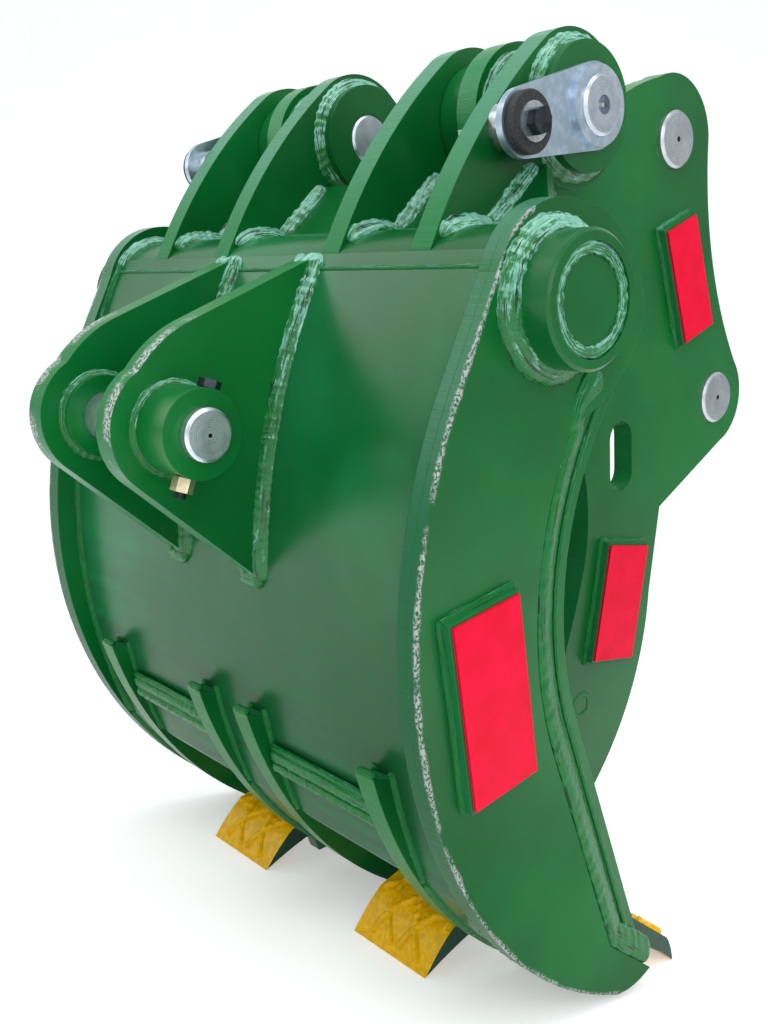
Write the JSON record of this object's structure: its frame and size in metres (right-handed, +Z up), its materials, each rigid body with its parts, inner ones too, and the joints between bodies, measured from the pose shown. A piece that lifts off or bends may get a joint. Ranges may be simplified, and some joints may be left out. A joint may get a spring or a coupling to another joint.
{
  "type": "excavator grapple",
  "caption": "Welded steel grapple for an excavator: a wide front jaw on a strut hinges on a narrower rear jaw that carries the hitch pins, with interlocking bevelled teeth.",
  "frame": {"origin": "middle of the stick pin, the upper of the two hitch pins", "axes": "+X along the pins, to the side of the cross-bolted ear boss; +Y to the back of the grapple, away from the front jaw; +Z up, with the closed jaws standing on their tooth tips"},
  "size_m": [0.812, 0.931, 1.1055],
  "materials": {
    "green_paint": "semi-gloss enamel over thick plate, with weld beads and chipped edges",
    "yellow_paint": "gloss enamel over hard-facing weld",
    "red_paint": "gloss enamel, bare",
    "pin_steel": "turned and zinc plated",
    "bush_steel": "turned, greased",
    "zinc_plate": "bright zinc plating",
    "yellow_zinc": "yellow passivated zinc",
    "black_steel": "black oxide",
    "black_rubber": "matte"
  },
  "bodies": {
    "rear_jaw": {"mount_plate_right": "green_paint", "mount_plate_left": "green_paint", "inner_tine_plate_right": "green_paint", "inner_tine_plate_left": "green_paint", "rear_palm_strips": "green_paint", "rear_shell": "green_paint", "rear_cross_tube": "green_paint", "hinge_bosses": "green_paint", "hinge_bushes": "bush_steel", "stick_pin": "pin_steel", "link_pin": "pin_steel", "hitch_collars": "green_paint", "rear_tooth_right": "yellow_paint", "rear_tooth_left": "yellow_paint", "rear_panel_bases": "green_paint", "rear_panel_faces": "red_paint"},
    "front_jaw": {"torque_tube": "green_paint", "tube_bosses": "green_paint", "tube_caps": "green_paint", "side_plate_right": "green_paint", "side_plate_left": "green_paint", "cheek_plate_right": "green_paint", "cheek_plate_left": "green_paint", "rib_side_right": "green_paint", "rib_side_left": "green_paint", "rib_middle_right": "green_paint", "rib_middle_left": "green_paint", "front_shell": "green_paint", "palm_strip_right": "green_paint", "palm_strip_left": "green_paint", "palm_strip_middle": "green_paint", "bay_bars": "green_paint", "front_tooth_right": "yellow_paint", "front_tooth_left": "yellow_paint", "front_tooth_middle": "yellow_paint", "hinge_lug_right_inner": "green_paint", "hinge_lug_left_inner": "green_paint", "hinge_lug_right_outer": "green_paint", "hinge_lug_left_outer": "green_paint", "lug_bosses": "green_paint", "lug_web": "green_paint", "strut_ear_right": "green_paint", "strut_ear_left": "green_paint", "ear_boss_right": "green_paint", "ear_boss_left": "green_paint", "strut_pin": "pin_steel", "strut_pin_bolt": "black_steel", "strut_pin_nut": "yellow_zinc", "hinge_pin_right": "pin_steel", "hinge_pin_left": "pin_steel", "keeper_plate_right": "zinc_plate", "keeper_plate_left": "zinc_plate", "pin_collars": "zinc_plate", "rubber_rings": "black_rubber", "keeper_spacers": "zinc_plate", "keeper_bolts": "black_steel", "grease_nipples": "zinc_plate", "front_panel_bases": "green_paint", "front_panel_faces": "red_paint"}
  },
  "joints": [
    {"name": "jaw_hinge", "type": "hinge", "parent": "rear_jaw", "child": "front_jaw", "pos_m": [0, -0.28, -0.056], "axis": [-1, 0, 0], "range_deg": [0, 95]}
  ]
}
